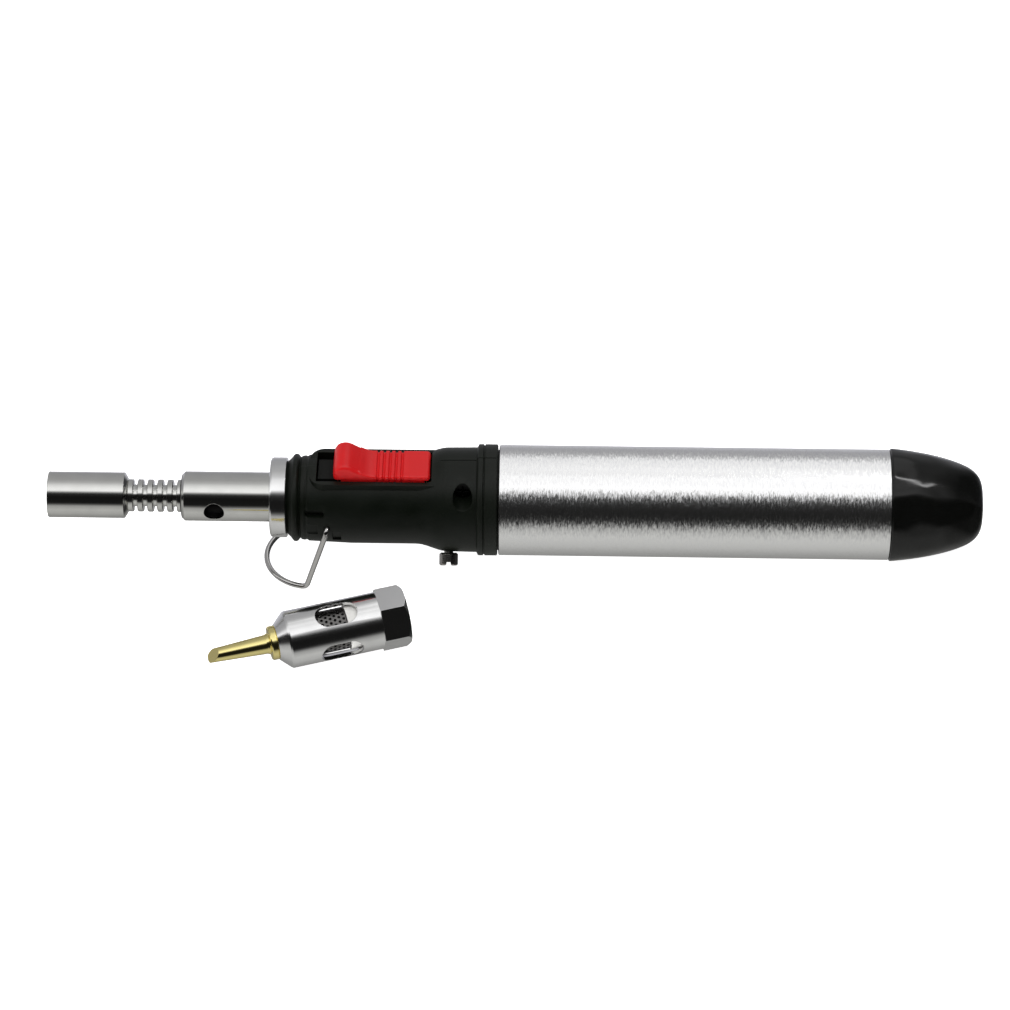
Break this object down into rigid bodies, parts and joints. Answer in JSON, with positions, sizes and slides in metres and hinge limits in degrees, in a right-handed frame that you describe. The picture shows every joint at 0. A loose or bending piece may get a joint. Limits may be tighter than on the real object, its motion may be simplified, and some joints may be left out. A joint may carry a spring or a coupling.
{
  "type": "butane torch",
  "caption": "Pen-shaped butane torch with a finned burner tube, a sliding red trigger, a folding wire stand, a metal tank sleeve and a loose soldering bit.",
  "frame": {"origin": "centre of the flame nozzle's mouth", "axes": "+X runs back along the torch's axis to the tail, +Z is the trigger side, -Y is the side that shows the housing screw's recess"},
  "size_m": [0.2027, 0.051, 0.0305],
  "materials": {
    "polished_steel": "satin turned",
    "bright_alloy": "satin turned",
    "catalyst_metal": "dull perforated",
    "brass": "turned",
    "wire_steel": "drawn wire",
    "screw_steel": "nickel plated",
    "stand_steel": "bright drawn wire",
    "ceramic_white": "glazed",
    "lead_black": "matt",
    "screw_black": "black phosphate",
    "housing_plastic": "satin",
    "inner_plastic": "matt",
    "white_plastic": "satin",
    "tank_plastic": "satin",
    "trigger_plastic": "satin",
    "seal_rubber": "matt",
    "wick_fibre": "felt",
    "brushed_sleeve": "brushed",
    "cap_gloss": "gloss",
    "gold_plate": "polished plate",
    "bit_nickel": "satin nickel plate"
  },
  "bodies": {
    "torch": {"flame_nozzle": "polished_steel", "flame_gauze": "catalyst_metal", "finned_tube": "polished_steel", "burner_sleeve": "polished_steel", "collar": "bright_alloy", "injector_jet": "brass", "gas_block": "brass", "electrode": "wire_steel", "electrode_insulator": "ceramic_white", "ignition_lead": "lead_black", "housing_left": "housing_plastic", "housing_right": "housing_plastic", "housing_screw": "screw_black", "lever_pin": "wire_steel", "piezo_body": "inner_plastic", "piezo_spring": "wire_steel", "valve_spring": "wire_steel", "valve_body": "brass", "valve_seal": "seal_rubber", "gas_tube": "seal_rubber", "adjuster_seal": "seal_rubber", "tank_plug": "white_plastic", "tank_seal": "seal_rubber", "fuel_tank": "tank_plastic", "wick": "wick_fibre", "tank_sleeve": "brushed_sleeve", "tail_cap": "cap_gloss", "refill_valve": "brass", "refill_spring": "wire_steel", "refill_seal": "seal_rubber"},
    "trigger": {"trigger": "trigger_plastic"},
    "plunger": {"piezo_plunger": "white_plastic"},
    "lever": {"valve_lever": "wire_steel"},
    "stem": {"valve_stem": "brass"},
    "stand": {"stand_bail": "stand_steel"},
    "adjuster": {"flow_adjuster": "screw_steel"},
    "refill": {"refill_stem": "screw_steel"},
    "soldering_bit": {"bit_tip": "gold_plate", "bit_barrel": "bit_nickel", "bit_catalyst": "catalyst_metal", "bit_spacer": "ceramic_white", "bit_nut": "bit_nickel"}
  },
  "joints": [
    {"name": "trigger_slide", "type": "slide", "parent": "torch", "child": "trigger", "axis": [-1, 0, 0], "range_m": [0, 0.003], "stiffness_N_per_m": 1500, "springref_m": -0.001},
    {"name": "plunger_slide", "type": "slide", "parent": "torch", "child": "plunger", "axis": [-1, 0, 0], "range_m": [0, 0.003], "deforming": ["piezo_spring"]},
    {"name": "lever_pivot", "type": "hinge", "parent": "torch", "child": "lever", "pos_m": [0.0777, 0, -0.0055], "axis": [0, -1, 0], "range_deg": [0, 15.5]},
    {"name": "stem_slide", "type": "slide", "parent": "torch", "child": "stem", "axis": [-1, 0, 0], "range_m": [0, 0.0015], "deforming": ["valve_spring"]},
    {"name": "stand_hinge", "type": "hinge", "parent": "torch", "child": "stand", "pos_m": [0.061, 0, -0.0005], "axis": [0, -1, 0], "range_deg": [0, 97]},
    {"name": "adjuster_turn", "type": "hinge", "parent": "torch", "child": "adjuster", "pos_m": [0.0872, 0, 0], "axis": [0, -0.6691, -0.7431], "range_deg": [-150, 150]},
    {"name": "refill_press", "type": "slide", "parent": "torch", "child": "refill", "axis": [-1, 0, 0], "range_m": [0, 0.0015], "stiffness_N_per_m": 800, "springref_m": -0.0005, "deforming": ["refill_spring"]},
    {"name": "bit_lift", "type": "slide", "parent": "torch", "child": "soldering_bit", "axis": [0, 0, 1], "range_m": [0, 0.06]}
  ],
  "couplings": [
    {"joint": "plunger_slide", "follows": "trigger_slide", "ratio": 1},
    {"joint": "lever_pivot", "follows": "trigger_slide", "rad_per_m": 90.17},
    {"joint": "stem_slide", "follows": "trigger_slide", "ratio": 0.5}
  ]
}
